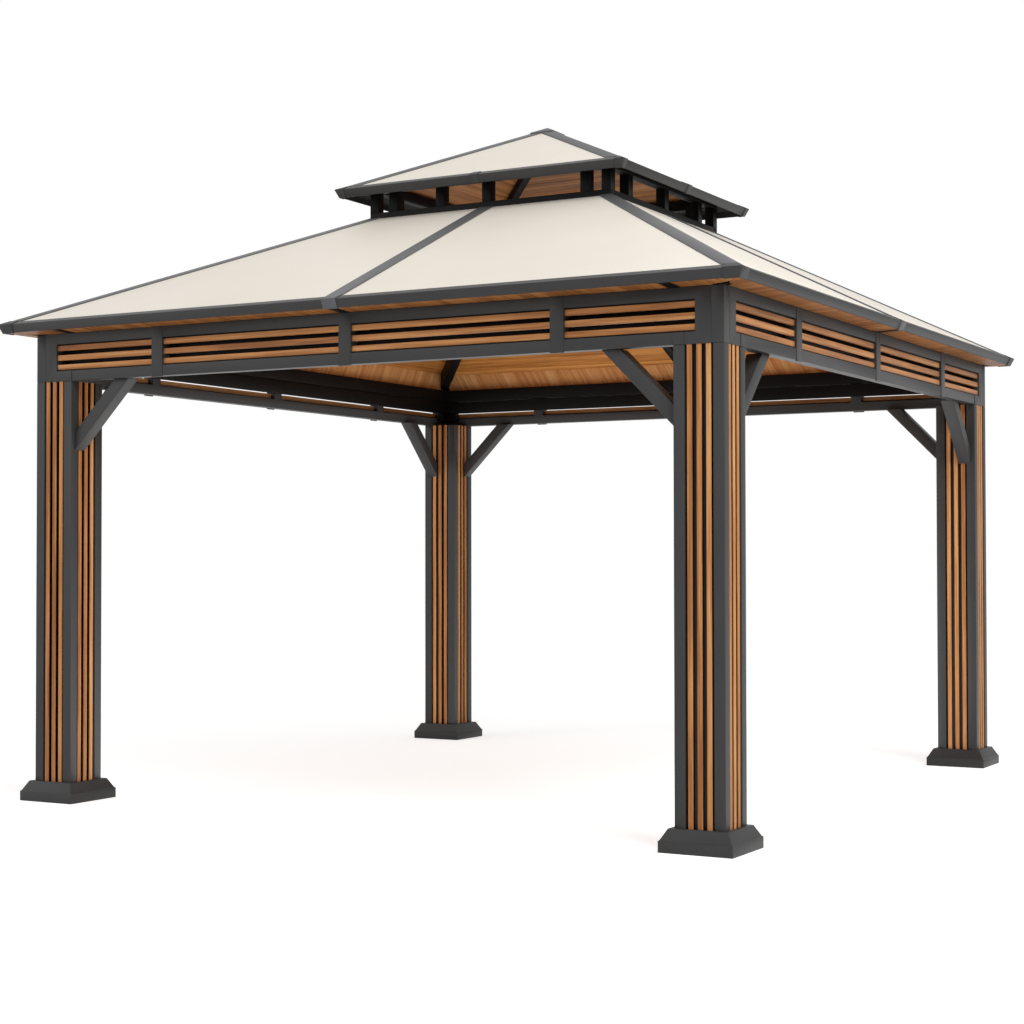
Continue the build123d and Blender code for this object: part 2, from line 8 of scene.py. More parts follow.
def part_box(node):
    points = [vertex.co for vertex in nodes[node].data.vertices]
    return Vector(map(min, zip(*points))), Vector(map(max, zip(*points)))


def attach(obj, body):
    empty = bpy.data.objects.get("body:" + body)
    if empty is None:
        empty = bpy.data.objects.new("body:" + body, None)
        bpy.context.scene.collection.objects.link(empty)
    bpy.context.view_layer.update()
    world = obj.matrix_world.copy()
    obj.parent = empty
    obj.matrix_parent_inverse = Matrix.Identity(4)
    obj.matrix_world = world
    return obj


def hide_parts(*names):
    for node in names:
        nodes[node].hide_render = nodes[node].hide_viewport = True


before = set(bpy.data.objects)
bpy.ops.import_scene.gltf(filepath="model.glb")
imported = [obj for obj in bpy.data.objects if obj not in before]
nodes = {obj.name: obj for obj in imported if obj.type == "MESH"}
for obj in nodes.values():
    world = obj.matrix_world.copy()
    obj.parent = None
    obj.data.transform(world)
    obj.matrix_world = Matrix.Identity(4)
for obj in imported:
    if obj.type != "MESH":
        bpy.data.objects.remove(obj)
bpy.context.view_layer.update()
print("stage: frame loaded,", len(nodes), "nodes")

scene = bpy.context.scene
scene.view_settings.view_transform = "Standard"
shuffle = np.random.default_rng(7)

# camera
cameraPlan = {
    "place": (4.735, -8.881, 1.1824),
    "turn": 29.147,          # degrees round Z from looking along +Y
    "tilt": 1.279,           # degrees up
    "roll": -0.067,
    "focalPixels": 1913.0,   # focal length in pixels of the picture
    "pixels": 1024,          # the picture's width
    "sensor": 36.0,
    "farthest": 200.0,
}


def placeCamera(plan):
    # the view axis from the turn and tilt, and the picture's right and up square to it
    turn, tilt, roll = (math.radians(plan[k]) for k in ("turn", "tilt", "roll"))
    ahead = Vector((-math.sin(turn) * math.cos(tilt), math.cos(turn) * math.cos(tilt), math.sin(tilt)))
    right = ahead.cross(Vector((0, 0, 1))).normalized()
    up = right.cross(ahead)
    rightRolled = right * math.cos(roll) + up * math.sin(roll)
    upRolled = up * math.cos(roll) - right * math.sin(roll)
    lens = bpy.data.cameras.new("view")
    lens.sensor_width = plan["sensor"]
    lens.lens = plan["focalPixels"] / plan["pixels"] * plan["sensor"]
    lens.clip_end = plan["farthest"]
    eye = bpy.data.objects.new("view", lens)
    axes = Matrix((rightRolled, upRolled, -ahead)).transposed().to_4x4()
    eye.matrix_world = Matrix.Translation(plan["place"]) @ axes
    scene.collection.objects.link(eye)
    scene.camera = eye


placeCamera(cameraPlan)
print("stage: camera placed")


# shader helper: a socket with arithmetic, and one method for every other node
class Wire:
    tree = None

    def __init__(self, socket):
        self.socket = socket

    # a node's first settings, its sockets by name or number, and the output to go on from
    @classmethod
    def make(cls, kind, settings=None, sockets=None, out=0):
        node = cls.tree.nodes.new("ShaderNode" + kind)
        for key, value in (settings or {}).items():
            if key == "stops":
                ramp = node.color_ramp
                while len(ramp.elements) < len(value):
                    ramp.elements.new(0.5)
                for element, (spot, colour) in zip(ramp.elements, value):
                    element.position = spot
                    element.color = colour
            else:
                setattr(node, key, value)
        for key, value in (sockets or {}).items():
            if isinstance(value, Wire):
                cls.tree.links.new(value.socket, node.inputs[key])
            else:
                node.inputs[key].default_value = value
        return cls(node.outputs[out])

    @classmethod
    def combine(cls, operation, first, second):
        return cls.make("Math", {"operation": operation}, {0: first, 1: second})

    def __add__(self, other):
        return Wire.combine("ADD", self, other)

    def __radd__(self, other):
        return Wire.combine("ADD", other, self)

    def __sub__(self, other):
        return Wire.combine("SUBTRACT", self, other)

    def __rsub__(self, other):
        return Wire.combine("SUBTRACT", other, self)

    def __mul__(self, other):
        return Wire.combine("MULTIPLY", self, other)

    def __rmul__(self, other):
        return Wire.combine("MULTIPLY", other, self)

    def clamp(self):
        return Wire.make("Clamp", None, {0: self})


def blend(amount, first, second):
    # colour from first, at 0, to second, at 1
    return Wire.make("Mix", {"data_type": "RGBA"}, {0: amount, 6: first, 7: second}, out=2)


def rgb(r, g, b):
    # sRGB bytes to linear
    c = np.array([r, g, b]) / 255.0
    c = np.where(c <= 0.04045, c / 12.92, ((c + 0.055) / 1.055) ** 2.4)
    return (float(c[0]), float(c[1]), float(c[2]), 1.0)


def noise(place, scale, detail=2.0, rough=0.5):
    sockets = {"Vector": place, "Scale": scale, "Detail": detail, "Roughness": rough}
    return Wire.make("TexNoise", None, sockets)


def bump(strength, depth, height):
    return Wire.make("Bump", None, {"Strength": strength, "Distance": depth, "Height": height})


def newMaterial(name, build, *values):
    material = bpy.data.materials.new(name)
    material.use_nodes = True
    tree = material.node_tree
    tree.nodes.clear()
    Wire.tree = tree
    surface = build(*values)
    output = tree.nodes.new("ShaderNodeOutputMaterial")
    tree.links.new(surface.socket, output.inputs["Surface"])
    return material


# powder coat on the metal
coat = {
    "frame": rgb(57, 57, 57),    # posts, beams, eaves and base covers
    # covers paler than the frame grey: partly the covers' own paint, partly painted light for their upward
    # faces
    "cover": rgb(94, 94, 96),    # hip and rib covers
    # near black: partly the parts' own dark paint, partly painted shade where they sit inside and under the
    # roofs, behind the slats and in the beams' inner corners
    "dark": rgb(15, 14, 14),     # parts inside and under the roofs
    "shine": 0.26,               # specular level
    "darkShine": 0.10,
    "roughness": 0.48,
    "roughnessDrift": 0.18,
    "peelSize": 700.0,           # orange peel, per metre
    "peelDepth": 0.0004,
    "peelStrength": 0.35,
    "cloudSize": 2.6,            # slow drift of tone, per metre
    "cloudDetail": 3.0,
    "cloudStart": 0.3,
    "cloudGain": 2.5,
    "cloud": 0.09,
}


def powderCoat(colour, shine):
    # flat paint, its tone and gloss drifting a little, with a fine orange peel
    place = Wire.make("TexCoord", out="Object")
    drift = noise(place, coat["cloudSize"], coat["cloudDetail"])
    fine = noise(place, coat["peelSize"])
    dark = tuple(c * (1 - coat["cloud"]) for c in colour[:3]) + (1,)
    light = tuple(c * (1 + coat["cloud"]) for c in colour[:3]) + (1,)
    return Wire.make("BsdfPrincipled", None, {
        "Base Color": blend((drift - coat["cloudStart"]) * coat["cloudGain"], dark, light),
        "Roughness": (drift - 0.5) * coat["roughnessDrift"] + coat["roughness"],
        "Normal": bump(coat["peelStrength"], coat["peelDepth"], fine),
        "Specular IOR Level": shine,
    })


# printed wood on slats and boards
wood = {
    "slat": (rgb(152, 94, 48), rgb(204, 140, 82), rgb(234, 178, 118)),
    "board": (rgb(136, 82, 34), rgb(188, 124, 60), rgb(212, 154, 88)),
    # soffit and frieze: paler than the other boards, painted light that lifts them out of the shade above
    # the beams and under the eaves
    "soffit": (rgb(206, 142, 86), rgb(234, 178, 116), rgb(246, 206, 152)),
    "eave": (rgb(132, 80, 36), rgb(176, 116, 60), rgb(202, 146, 88)),
    "cupola": (rgb(98, 60, 28), rgb(142, 92, 48), rgb(170, 120, 72)),
    "stops": (0.08, 0.5, 0.92),      # where the three tones stand
    "shine": 0.3,
    "stretch": (1.6, 46.0, 46.0),    # figure per metre along and across the grain
    "streak": (5.0, 260.0, 260.0),   # fine streaks, the same way
    "figureNoise": (1.0, 4.0, 0.6),  # scale, detail and roughness
    "streakNoise": (1.0, 3.0, 0.7),
    "figureGain": 1.5,
    "streakGain": 0.7,
    "boardGain": 0.34,               # from board to board
    "middle": 0.36,
    "poreStrength": 0.3,
    "poreDepth": 0.0006,
    "roughness": 0.5,
    "roughnessDrift": 0.2,
}


def woodGrain(tones):
    # broad figure and fine streaks, both drawn out along the grain, each board with its own tone.
    # The grain attribute is the place on the board: along it, then across, shifted board by board
    place = Wire.make("Attribute", {"attribute_name": "grain"}, out="Vector")
    shade = Wire.make("Attribute", {"attribute_name": "tone"}, out="Fac")
    along = Wire.make("Mapping", None, {"Vector": place, "Scale": wood["stretch"]})
    broad = noise(along, *wood["figureNoise"])
    along = Wire.make("Mapping", None, {"Vector": place, "Scale": wood["streak"]})
    fine = noise(along, *wood["streakNoise"])
    figure = (broad - 0.5) * wood["figureGain"] + (fine - 0.5) * wood["streakGain"]
    figure = figure + shade * wood["boardGain"] + wood["middle"]
    stops = list(zip(wood["stops"], tones))
    return Wire.make("BsdfPrincipled", None, {
        "Base Color": Wire.make("ValToRGB", {"stops": stops}, {0: figure}),
        "Roughness": (fine - 0.5) * wood["roughnessDrift"] + wood["roughness"],
        "Normal": bump(wood["poreStrength"], wood["poreDepth"], fine),
        "Specular IOR Level": wood["shine"],
    })


# cream sheet on the roofs
sheet = {
    "light": rgb(243, 236, 224),
    "shade": rgb(233, 225, 211),
    "cloudSize": 0.9,        # slow drift of tone, per metre
    "cloudDetail": 3.0,
    "cloudStart": 0.25,
    "cloudGain": 2.0,
    "peelSize": 500.0,
    "peelDepth": 0.0003,
    "peelStrength": 0.2,
    "roughness": 0.5,
    "roughnessDrift": 0.1,
}


def roofSheet():
    # smooth coated sheet with a slow drift of tone
    place = Wire.make("TexCoord", out="Object")
    drift = noise(place, sheet["cloudSize"], sheet["cloudDetail"])
    fine = noise(place, sheet["peelSize"])
    tone = blend((drift - sheet["cloudStart"]) * sheet["cloudGain"], sheet["shade"], sheet["light"])
    return Wire.make("BsdfPrincipled", None, {
        "Base Color": tone,
        "Roughness": (drift - 0.5) * sheet["roughnessDrift"] + sheet["roughness"],
        "Normal": bump(sheet["peelStrength"], sheet["peelDepth"], fine),
    })


frameCoat = newMaterial("frameCoat", powderCoat, coat["frame"], coat["shine"])
# paler grey for the covers, partly painted light on their upward faces
litCoverCoat = newMaterial("litCoverCoat", powderCoat, coat["cover"], coat["shine"])
# near black, partly painted shade for the parts that stand in shade
darkCoatAndShade = newMaterial("darkCoatAndShade", powderCoat, coat["dark"], coat["darkShine"])
slatWood = newMaterial("slatWood", woodGrain, wood["slat"])
boardWood = newMaterial("boardWood", woodGrain, wood["board"])
# painted light: the soffit and frieze wood is paler to offset the shade it stands in
litSoffitWood = newMaterial("litSoffitWood", woodGrain, wood["soffit"])
eaveWood = newMaterial("eaveWood", woodGrain, wood["eave"])
cupolaWood = newMaterial("cupolaWood", woodGrain, wood["cupola"])
roofCoat = newMaterial("roofCoat", roofSheet)
print("stage: materials")


def addPiece(name, mesh, material, stands=()):
    mesh.materials.clear()
    mesh.materials.append(material)
    piece = bpy.data.objects.new(name, mesh)
    scene.collection.objects.link(piece)
    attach(piece, "root")
    if stands:
        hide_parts(*stands)
    return piece


def roundedSection(width, depth, radius, steps=3):
    # four corner centres (w/2 - r, d/2 - r) with either sign, and round each a quarter turn
    # centre + r (cos t, sin t), anticlockwise
    t = np.linspace(0, np.pi / 2, steps)[None, :] + np.arange(4)[:, None] * np.pi / 2
    centre = np.array([(1, 1), (-1, 1), (-1, -1), (1, -1)]) * (width / 2 - radius, depth / 2 - radius)
    ring = np.stack([centre[:, :1] + radius * np.cos(t), centre[:, 1:] + radius * np.sin(t)], -1)
    return ring.reshape(-1, 2)


# what all slats and boards share
barLook = {
    "smoothBelow": 35.0,     # degrees
    "grainShift": 40.0,      # metres, so that no two boards share a figure
    "toneSpread": 0.5,
}


def addBars(name, rings, local, material, slot, stands=()):
    # rings (bars, levels, points, 3) stack into closed bars: a quad joins point i and i + 1 of one
    # ring to the same two of the next, and each end has a cap. local is each point's place on its
    # own bar, along it and across, and gives the grain
    bars, levels, count = rings.shape[:3]
    first = (np.arange(bars * levels) * count).reshape(bars, levels)
    i = np.arange(count)
    j = (i + 1) % count
    low = first[:, :-1].reshape(-1, 1)
    high = first[:, 1:].reshape(-1, 1)
    walls = np.stack([low + i, low + j, high + j, high + i], -1).reshape(-1, 4)
    ends = np.concatenate([first[:, :1] + i[::-1], first[:, -1:] + i])
    mesh = bpy.data.meshes.new(name)
    mesh.from_pydata(rings.reshape(-1, 3).tolist(), [], walls.tolist() + ends.tolist())
    grain = local + shuffle.uniform(0, barLook["grainShift"], (bars, 1, 1, 3))
    spread = barLook["toneSpread"]
    tone = np.broadcast_to(shuffle.uniform(-spread, spread, (bars, 1, 1)), (bars, levels, count))
    mesh.attributes.new("grain", "FLOAT_VECTOR", "POINT").data.foreach_set("vector", grain.ravel())
    mesh.attributes.new("tone", "FLOAT", "POINT").data.foreach_set("value", tone.ravel())
    mesh.shade_smooth()
    mesh.set_sharp_from_angle(angle=math.radians(barLook["smoothBelow"]))
    addPiece(name, mesh, material, stands)


def turned(points, degrees):
    # x' = x cos a - y sin a, y' = x sin a + y cos a: from the front side to another one
    a = math.radians(degrees)
    x, y, z = points[..., 0], points[..., 1], points[..., 2]
    return np.stack([x * math.cos(a) - y * math.sin(a), x * math.sin(a) + y * math.cos(a), z], -1)


sides = {"front": 0, "right": 90, "back": 180, "left": 270}
corners = ("front_left", "front_right", "back_right", "back_left")


def halfSizes(node):
    # half the width and half the depth of a node's box
    low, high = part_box(node)
    return (high[0] - low[0]) / 2, (high[1] - low[1]) / 2


def across(side, sizes):
    # half length along a side, and its distance from the middle
    return sizes if sides[side] in (0, 180) else sizes[::-1]


# slats on the posts: a wooden face on a near-black carrier, whose dark sides are painted shade in the gaps
# between slats
postSlats = {
    "width": 0.0228,
    "pitch": 0.0414,
    "depth": 0.023,
    "faceDepth": 0.0065,
    "carrierWidth": 0.0170,
    "setback": 0.003,        # behind the face of the corner strips
    "rounding": 0.0028,
    "carrierRounding": 0.001,
    "perFace": 3,
}


def postBars(corner, width, front, depth, rounding, plan):
    # point = post centre + (step + u) t + (R - front - d/2 + v) n, with t along the face and n out of it
    section = roundedSection(width, depth, rounding)
    steps = (np.arange(plan["perFace"]) - (plan["perFace"] - 1) / 2) * plan["pitch"]
    low, high = (np.array(c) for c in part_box("post_" + corner))
    slatLow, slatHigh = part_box("post_slats_" + corner)
    middle = (low + high) / 2
    reach = (high[0] - low[0]) / 2 - front - depth / 2
    levels = np.array([slatLow[2], slatHigh[2]])
    u = steps[:, None, None] + section[None, None, :, 0] + 0 * levels[None, :, None]
    v = section[None, None, :, 1] + 0 * u
    z = levels[None, :, None] + 0 * u
    face = np.stack([u, v - reach, z], -1)
    rings = np.concatenate([turned(face, a) for a in sides.values()]) + (middle[0], middle[1], 0)
    return rings, np.concatenate([np.stack([z, u, v], -1)] * len(sides))


def buildPostSlats(plan):
    front, face = plan["setback"], plan["faceDepth"]
    for corner in corners:
        stands = ("post_slats_" + corner,)
        bars = postBars(corner, plan["width"], front, face, plan["rounding"], plan)
        addBars("slats_" + corner, *bars, slatWood, "slat_wood", stands)
        # near-black carriers: painted shade in the gaps between slats
        bars = postBars(corner, plan["carrierWidth"], front + face, plan["depth"] - face,
                        plan["carrierRounding"], plan)
        addBars("slat_carriers_" + corner, *bars, darkCoatAndShade, "frame_metal", stands)


# slats between the rails of the beams
beamSlats = {
    "height": 0.026,
    "gap": 0.020,
    "depth": 0.018,
    "setback": 0.008,        # behind the face of the rails
    "rounding": 0.0035,
    "rows": 3,
    "cornerPost": 0.055,     # stud between two beams
    "endStile": 0.070,
    "stile": 0.064,
    "stileOffset": {"front": 0.745, "back": 0.745, "left": 0.830, "right": 0.830},    # from the corner
}
beamReach = (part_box("post_front_right")[1][0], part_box("post_back_right")[1][1])


def buildBeamSlats(plan):
    # point = (x, -R + v, z0 + row + w) on the front, turned to each side, x from bay end to bay end
    section = roundedSection(plan["depth"], plan["height"], plan["rounding"])
    half = plan["stile"] / 2
    for side, degrees in sides.items():
        node = "beam_slats_" + side
        along, out = across(side, beamReach)
        edge = along - plan["cornerPost"] - plan["endStile"]
        stile = along - plan["stileOffset"][side]
        bays = [(-edge, -stile - half), (-stile + half, -half), (half, stile - half), (stile + half, edge)]
        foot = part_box(node)[0][2] + plan["height"] / 2
        rows = foot + np.arange(plan["rows"]) * (plan["height"] + plan["gap"])
        shape = (len(bays), len(rows), 2, len(section))
        x = np.broadcast_to(np.array(bays)[:, None, :, None], shape)
        v = np.broadcast_to(section[:, 0], shape)
        w = np.broadcast_to(section[:, 1], shape)
        y = v - (out - plan["setback"] - plan["depth"] / 2)
        rings = turned(np.stack([x, y, rows[None, :, None, None] + w], -1), degrees)
        local = np.stack([x, v, w], -1)
        rings, local = (part.reshape(-1, *shape[2:], 3) for part in (rings, local))
        addBars("beam_boards_" + side, rings, local, slatWood, "slat_wood", (node,))


buildPostSlats(postSlats)
buildBeamSlats(beamSlats)
print("stage: slats on posts and beams")


# small metal on the beams: lips that hold the slats, plates at the posts and joints inside the corners. The
# lips and joints are near black, painted shade in the gaps below the slats and in the beams' inner corners
beamMetal = {
    "rail": 0.050,
    "height": 0.230,
    "depth": 0.055,
    "lipDepth": 0.012,
    "lipSetback": 0.012,     # behind the face of the rails
    "margin": 0.006,         # rail to slat
    "plateWidth": 0.048,
    "plateThickness": 0.0022,
    "post": 0.220,
    "jointReach": 0.100,
    "jointHeight": 0.052,
    "jointDepth": 0.040,
    "jointTop": 0.0815,      # above the underside of the beams
    "jointRounding": 0.004,
    "rounding": 0.0008,
}


def sideBars(name, runs, size, out, centre, degrees, rounding, material):
    # bars along one side: section (v, w) at distance R and height z, x from run end to run end
    section = roundedSection(size[0], size[1], rounding)
    shape = (len(runs), 2, len(section))
    x = np.broadcast_to(np.array(runs)[:, :, None], shape)
    v = np.broadcast_to(section[:, 0], shape)
    w = np.broadcast_to(section[:, 1], shape)
    rings = turned(np.stack([x, v - out + size[0] / 2, w + centre], -1), degrees)
    addBars(name, rings, np.stack([x, v, w], -1), material, "frame_metal")


def buildBeamMetal(plan):
    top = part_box("post_front_right")[1][2]
    foot = top - plan["height"]
    lip = (plan["lipDepth"], plan["margin"])
    lips = {"low": foot + plan["rail"] + lip[1] / 2, "high": top - plan["rail"] - lip[1] / 2}
    for side, degrees in sides.items():
        along, out = across(side, beamReach)
        edge = along - beamSlats["cornerPost"] - beamSlats["endStile"]
        for word, centre in lips.items():
            # near-black lips: painted shade in the gaps between slats and rails
            sideBars(f"{word}_lip_{side}", [(-edge, edge)], lip, out - plan["lipSetback"], centre, degrees,
                     plan["rounding"], darkCoatAndShade)
        near = along - plan["post"]
        far = near + plan["plateWidth"]
        sideBars("plates_" + side, [(-far, -near), (near, far)], (plan["plateThickness"], plan["rail"]),
                 out + plan["plateThickness"], foot + plan["rail"] / 2, degrees, plan["rounding"], frameCoat)
        inside = along - plan["depth"]
        start = inside - plan["jointReach"]
        end = inside if sides[side] in (0, 180) else inside - plan["jointDepth"]
        # near-black joints: painted shade in the beams' inner corners
        sideBars("corner_joints_" + side, [(-end, -start), (start, end)],
                 (plan["jointDepth"], plan["jointHeight"]), out - plan["depth"],
                 foot + plan["jointTop"] - plan["jointHeight"] / 2, degrees, plan["jointRounding"], darkCoatAndShade)


buildBeamMetal(beamMetal)
print("stage: small metal on the beams")


# ceiling and soffit boards
eaveSize = halfSizes("lower_eave")
curbSize = halfSizes("vent_curb")
cupolaSize = halfSizes("upper_eave")
ceiling = {
    "thickness": 0.008,
    "under": 0.010,          # top of the boards below the panels' top face, plumb
    "chamfer": 0.0025,
    "joint": 0.003,          # open joint between two boards
    "width": 0.092,
    "soffitWidth": 0.058,
    "eaveThickness": 0.005,
    "eaveDrop": 0.0335,      # underside of the eave boards at the fascia, below the eave
    "eaveFall": 0.052,       # fall per metre towards the beam
    "eaveLap": 0.010,        # on the beam
    "eaveLeast": 0.0005,     # shortest board, at the corners
    "rafterRoom": 0.026,     # half the room left for a rafter
    "tailOffset": 0.345,     # rafter tail beside a corner, in from the eave's corner
    "hipStretch": 0.045,     # boards beside the post that stop short of the hip rafter
    "hipRoom": 0.020,        # and how far short of the beam
    "hipGap": 0.0015,
    "margin": 0.001,         # kept clear at the mitres and where two kinds of board meet
    "edgeGap": 0.0255,       # fascia's outer edge to the first soffit board
    "overhang": 0.130,
    "lowerEave": 2.290,      # heights of the panels' lower edges, and the rises to the curb and apex
    "lowerRise": 0.622,
    "upperEave": 3.050,
    "upperRise": 0.376,
}


def boardSection(width, thickness, chamfer):
    # flat board with its two lower edges cut back, anticlockwise from the lower left, top at 0
    return np.array([(chamfer, -thickness), (width - chamfer, -thickness), (width, chamfer - thickness),
                     (width, 0), (0, 0), (0, chamfer - thickness)])


def hipFactor(along, ring, run):
    # a distance square to the hip, times the hip's length over its run, is one along the eave
    return math.hypot(along - ring, run) / run


def longBoards(along, out, ring, run, eaveZ, rise, first, plan):
    # boards parallel to the eave. For a point v in from the eave and w above the panels' top face:
    # x = end (L - lean v - gap), y = v - out, z = eave + slope v + w
    lean = (along - ring) / run
    gap = plan["hipGap"] * hipFactor(along, ring, run)
    length = run - first
    count = max(1, round(length / plan["width"]))
    width = length / count
    section = boardSection(width - plan["joint"], plan["thickness"], plan["chamfer"])
    v = first + np.arange(count)[:, None] * width + section[None, :, 0]
    v = np.minimum(v, (along - gap) / lean - plan["margin"])
    w = section[None, :, 1] - plan["under"] + 0 * v
    v, w = (np.stack([part, part], 1) for part in (v, w))
    x = np.array([-1.0, 1.0])[None, :, None] * (along - lean * v - gap)
    rings = np.stack([x, v - out, eaveZ + rise / run * v + w], -1)
    return rings, np.stack([x, v, w], -1)


def crossBoards(along, out, ring, run, eaveZ, rise, first, last, plan):
    # soffit boards square to the eave, cut off along the hips:
    # v runs from the fascia to the smaller of the overhang and (L - gap - |x|) / lean
    lean = (along - ring) / run
    gap = plan["hipGap"] * hipFactor(along, ring, run)
    widest = along - lean * first - gap - plan["margin"]
    count = round(2 * widest / plan["soffitWidth"])
    width = 2 * widest / count
    section = boardSection(width, plan["thickness"], plan["chamfer"])
    x = -widest + np.arange(count)[:, None] * width + section[None, :, 0]
    w = section[None, :, 1] - plan["under"] + 0 * x
    x, w = (np.stack([part, part], 1) for part in (x, w))
    far = np.minimum(last, (along - gap - np.abs(x[:, 0])) / lean)
    v = np.stack([far, np.full_like(far, first)], 1)
    rings = np.stack([x, v - out, eaveZ + rise / run * v + w], -1)
    return rings, np.stack([v, x, w], -1)


def eaveBoards(along, out, stops, plan):
    # level boards that close the eave from below, side by side from stop to stop. For v in from the eave
    # and w above the underside: z = eave - drop + w - fall (v - first). They are cut at 45 degrees at the
    # corners, and stop short of the hip rafters
    first, last = plan["edgeGap"], plan["overhang"] + plan["eaveLap"]
    cells = []
    for start, end in zip(stops[0::2], stops[1::2]):
        joints = np.linspace(start, end, max(1, round((end - start) / plan["soffitWidth"])) + 1)
        cells.append(np.stack([joints[:-1], joints[1:]], 1))
    # which joint of its cell, left or right, each point of the section belongs to
    joint = [0, 1, 1, 1, 0, 0]
    section = boardSection(0.0, plan["eaveThickness"], plan["chamfer"])
    x = np.concatenate(cells)[:, joint] + section[:, 0]
    w = section[None, :, 1] + plan["eaveThickness"] + 0 * x
    x, w = (np.stack([part, part], 1) for part in (x, w))
    reach = np.abs(x[:, 0])
    wall = along - plan["overhang"]
    far = np.minimum(last, along - plan["hipGap"] - reach)
    besidePost = (reach > wall - plan["hipStretch"]) & (reach < wall)
    far = np.where(besidePost, np.minimum(far, plan["overhang"] - plan["hipRoom"]), far)
    far = np.maximum(far, first + plan["eaveLeast"])
    v = np.stack([far, np.full_like(far, first)], 1)
    z = plan["lowerEave"] - plan["eaveDrop"] + w - plan["eaveFall"] * (v - first)
    return np.stack([x, v - out, z], -1), np.stack([v, x, w], -1)


def sideCeilings(side, plan):
    # the four kinds of board on one side, each with its points and their places on the board
    along, out = across(side, eaveSize)
    ring, curb = across(side, curbSize)
    lower = (along, out, ring, out - curb, plan["lowerEave"], plan["lowerRise"])
    end = along - plan["edgeGap"] - plan["hipGap"] - plan["margin"]
    tail = along - plan["tailOffset"]
    rafters = (-tail, 0.0, tail) if sides[side] in (0, 180) else (0.0,)
    room = plan["rafterRoom"]
    stops = [-end, *(place + way for place in rafters for way in (-room, room)), end]
    topAlong, topOut = across(side, cupolaSize)
    upper = (topAlong, topOut, 0.0, topOut, plan["upperEave"], plan["upperRise"])
    return {
        "ceiling_boards": longBoards(*lower, plan["overhang"], plan),
        "soffit_boards": crossBoards(*lower, plan["edgeGap"], plan["overhang"] - plan["margin"], plan),
        "eave_boards": eaveBoards(along, out, stops, plan),
        "cupola_boards": longBoards(*upper, plan["overhang"], plan),
    }


# each kind's wood, and the node that it stands for
ceilingWoods = {
    "ceiling_boards": (boardWood, "lower_ceiling"),
    "soffit_boards": (litSoffitWood, "lower_ceiling"),
    "eave_boards": (eaveWood, "lower_ceiling"),
    "cupola_boards": (cupolaWood, "upper_ceiling"),
}


def buildCeilings(plan):
    bySide = {side: sideCeilings(side, plan) for side in sides}
    for name, (material, node) in ceilingWoods.items():
        rings = np.concatenate([turned(bySide[side][name][0], degrees) for side, degrees in sides.items()])
        local = np.concatenate([bySide[side][name][1] for side in sides])
        addBars(name, rings, local, material, "ceiling_wood", (node,))


buildCeilings(ceiling)
print("stage: ceiling and soffit boards")


# frieze on the inner edge of the beams, up to the ceiling, in the soffit's paler wood: painted light against
# the shade there
frieze = {
    "width": 0.050,
    "joint": 0.002,
    "thickness": 0.006,
    "proud": 0.001,          # past the beams' inner face, over the rafter tails' ends
    "rounding": 0.001,
    "lean": {"front": 0.6, "right": -0.6, "back": 0.6, "left": -0.6},    # sideways per height
}


def buildFrieze(plan):
    # leaning boards side by side. For v across the thickness and w above half height:
    # point = (x + lean w, v - R, z + w), x from joint to joint and never past the corner
    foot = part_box("post_front_right")[1][2]
    for side, degrees in sides.items():
        along, out = across(side, beamReach)
        eaveOut = across(side, eaveSize)[1]
        slope = ceiling["lowerRise"] / (eaveOut - across(side, curbSize)[1])
        reach = out - beamMetal["depth"] + plan["thickness"] / 2 - plan["proud"]
        under = ceiling["lowerEave"] - ceiling["under"] - ceiling["thickness"]
        top = under + slope * (eaveOut - reach)
        half = along - beamMetal["depth"]
        section = roundedSection(plan["thickness"], top - foot, plan["rounding"])
        joints = np.linspace(-half, half, round(2 * half / plan["width"]) + 1)
        x = np.stack([joints[:-1], joints[1:] - plan["joint"]], 1)[:, :, None] + 0 * section[:, 0]
        v = section[:, 0] + 0 * x
        w = section[:, 1] + 0 * x
        leaning = np.clip(x + plan["lean"][side] * w, -half, half)
        rings = turned(np.stack([leaning, v - reach, (foot + top) / 2 + w], -1), degrees)
        addBars("frieze_" + side, rings, np.stack([w, v, x], -1), litSoffitWood, "ceiling_wood")


buildFrieze(frieze)
print("stage: frieze")


# folded and welded metal keeps its shape and gets rounded edges: how the nodes' names start, with the
# rounding, the material and the slot
edges = {
    "post_": (0.0022, frameCoat, "frame_metal"),
    "base_cover_": (0.0025, frameCoat, "base_metal"),
    "beam_": (0.0012, frameCoat, "frame_metal"),
    "knee_braces_": (0.003, frameCoat, "brace_metal"),
    "ledger_rails": (0.0015, darkCoatAndShade, "frame_metal"),
    "lower_rafters": (0.0015, darkCoatAndShade, "rafter_metal"),
    "upper_rafters": (0.0015, darkCoatAndShade, "rafter_metal"),
    "vent_curb": (0.0015, darkCoatAndShade, "vent_metal"),
    "vent_posts": (0.0015, darkCoatAndShade, "vent_metal"),
    "vent_plate": (0.0015, darkCoatAndShade, "vent_metal"),
    "lower_eave": (0.0016, frameCoat, "trim_metal"),
    "upper_eave": (0.0016, frameCoat, "trim_metal"),
    "eave_caps": (0.0007, frameCoat, "trim_metal"),
    "lower_hip_covers": (0.0018, litCoverCoat, "trim_metal"),
    "upper_hip_covers": (0.0018, litCoverCoat, "trim_metal"),
    "lower_rib_covers": (0.0009, litCoverCoat, "trim_metal"),
    "apex_cap": (0.0018, litCoverCoat, "trim_metal"),
}
softEdge = {
    "weld": 1e-5,
    "flat": 0.5,             # degrees between faces that become one
    "sharp": 30.0,           # degrees from which an edge is rounded
    "segments": 2,
}


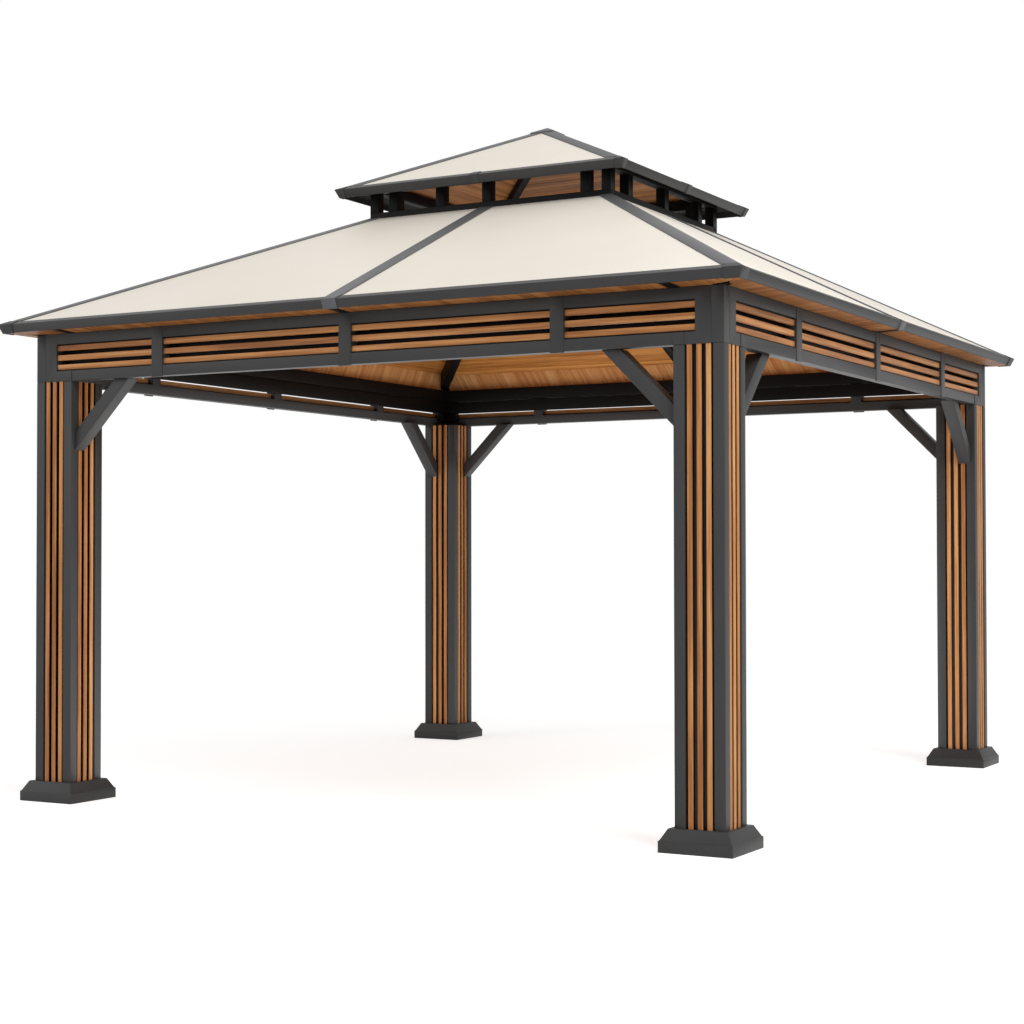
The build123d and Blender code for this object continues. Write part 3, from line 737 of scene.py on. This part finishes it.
def softened(node, width, material, slot):
    # a merged copy of the node's mesh, each sharp edge rounded by a bevel
    mesh = nodes[node].data.copy()
    mesh.name = "soft_" + node
    work = bmesh.new()
    work.from_mesh(mesh)
    flat = math.radians(softEdge["flat"])
    bmesh.ops.remove_doubles(work, verts=work.verts, dist=softEdge["weld"])
    bmesh.ops.dissolve_limit(work, angle_limit=flat, verts=work.verts, edges=work.edges)
    work.to_mesh(mesh)
    work.free()
    mesh.shade_smooth()
    piece = addPiece("soft_" + node, mesh, material, (node,))
    bevel = piece.modifiers.new("edges", "BEVEL")
    bevel.width = width
    bevel.segments = softEdge["segments"]
    bevel.limit_method = "ANGLE"
    bevel.angle_limit = math.radians(softEdge["sharp"])
    bevel.harden_normals = True


def finish(node, material):
    nodes[node].data.materials.clear()
    nodes[node].data.materials.append(material)


for node in list(nodes):
    if node.startswith(("post_slats", "beam_slats")) or node.endswith("ceiling"):
        continue
    rule = [edges[start] for start in edges if node.startswith(start)]
    if rule:
        softened(node, *rule[0])
    elif "roof" in node:
        finish(node, roofCoat)
    else:
        finish(node, frameCoat)
print("stage: metal pieces")


# floor and light
studio = {
    "white": (1.0, 1.0, 1.0, 1.0),
    "floorSize": 60.0,
    "floorColour": (0.78, 0.78, 0.78, 1.0),
    "floorGlow": 0.62,       # added for the camera and for reflections only
    "worldStrength": 0.48,
    "lamps": [               # place, aim, size and watts
        ((9.0, -5.5, 9.0), (0.0, 0.0, 1.5), 6.0, 840.0),
        ((-8.0, -9.0, 6.0), (0.0, 0.0, 1.5), 7.0, 220.0),
        ((0.0, 0.0, 0.05), (0.0, 0.001, 2.5), 3.2, 56.0),    # floor's glow on the ceiling
    ],
}


def seenDirectly():
    # 1 for camera, mirror and glass rays
    camera, mirror, glass = (Wire.make("LightPath", out=f"Is {kind} Ray")
                             for kind in ("Camera", "Glossy", "Transmission"))
    return (camera + mirror + glass).clamp()


def paper():
    # pale sheet that holds the shadow, lifted to white where it is looked at
    pale = Wire.make("BsdfDiffuse", None, {"Color": studio["floorColour"]})
    glow = Wire.make("Emission", None, {"Strength": seenDirectly() * studio["floorGlow"]})
    return Wire.make("AddShader", None, {0: pale, 1: glow})


half = studio["floorSize"] / 2
floorMesh = bpy.data.meshes.new("floor")
floorCorners = [(-half, -half, 0), (half, -half, 0), (half, half, 0), (-half, half, 0)]
floorMesh.from_pydata(floorCorners, [], [(0, 1, 2, 3)])
floorMesh.materials.append(newMaterial("paper", paper))
floor = bpy.data.objects.new("floor", floorMesh)
scene.collection.objects.link(floor)

world = bpy.data.worlds.new("studio")
world.use_nodes = True
scene.world = world
world.node_tree.nodes.clear()
Wire.tree = world.node_tree
fill = Wire.make("Background", None, {"Color": studio["white"], "Strength": studio["worldStrength"]})
white = Wire.make("Background", None, {"Color": studio["white"], "Strength": 1.0})
sky = Wire.make("MixShader", None, {0: seenDirectly(), 1: fill, 2: white})
output = world.node_tree.nodes.new("ShaderNodeOutputWorld")
world.node_tree.links.new(sky.socket, output.inputs["Surface"])

for number, (spot, aim, size, power) in enumerate(studio["lamps"]):
    lamp = bpy.data.lights.new(f"lamp{number}", "AREA")
    lamp.energy = power
    lamp.size = size
    holder = bpy.data.objects.new(f"lamp{number}", lamp)
    holder.location = spot
    holder.visible_camera = False
    holder.rotation_euler = (Vector(aim) - Vector(spot)).to_track_quat("-Z", "Y").to_euler()
    scene.collection.objects.link(holder)
print("stage: floor and lamps")
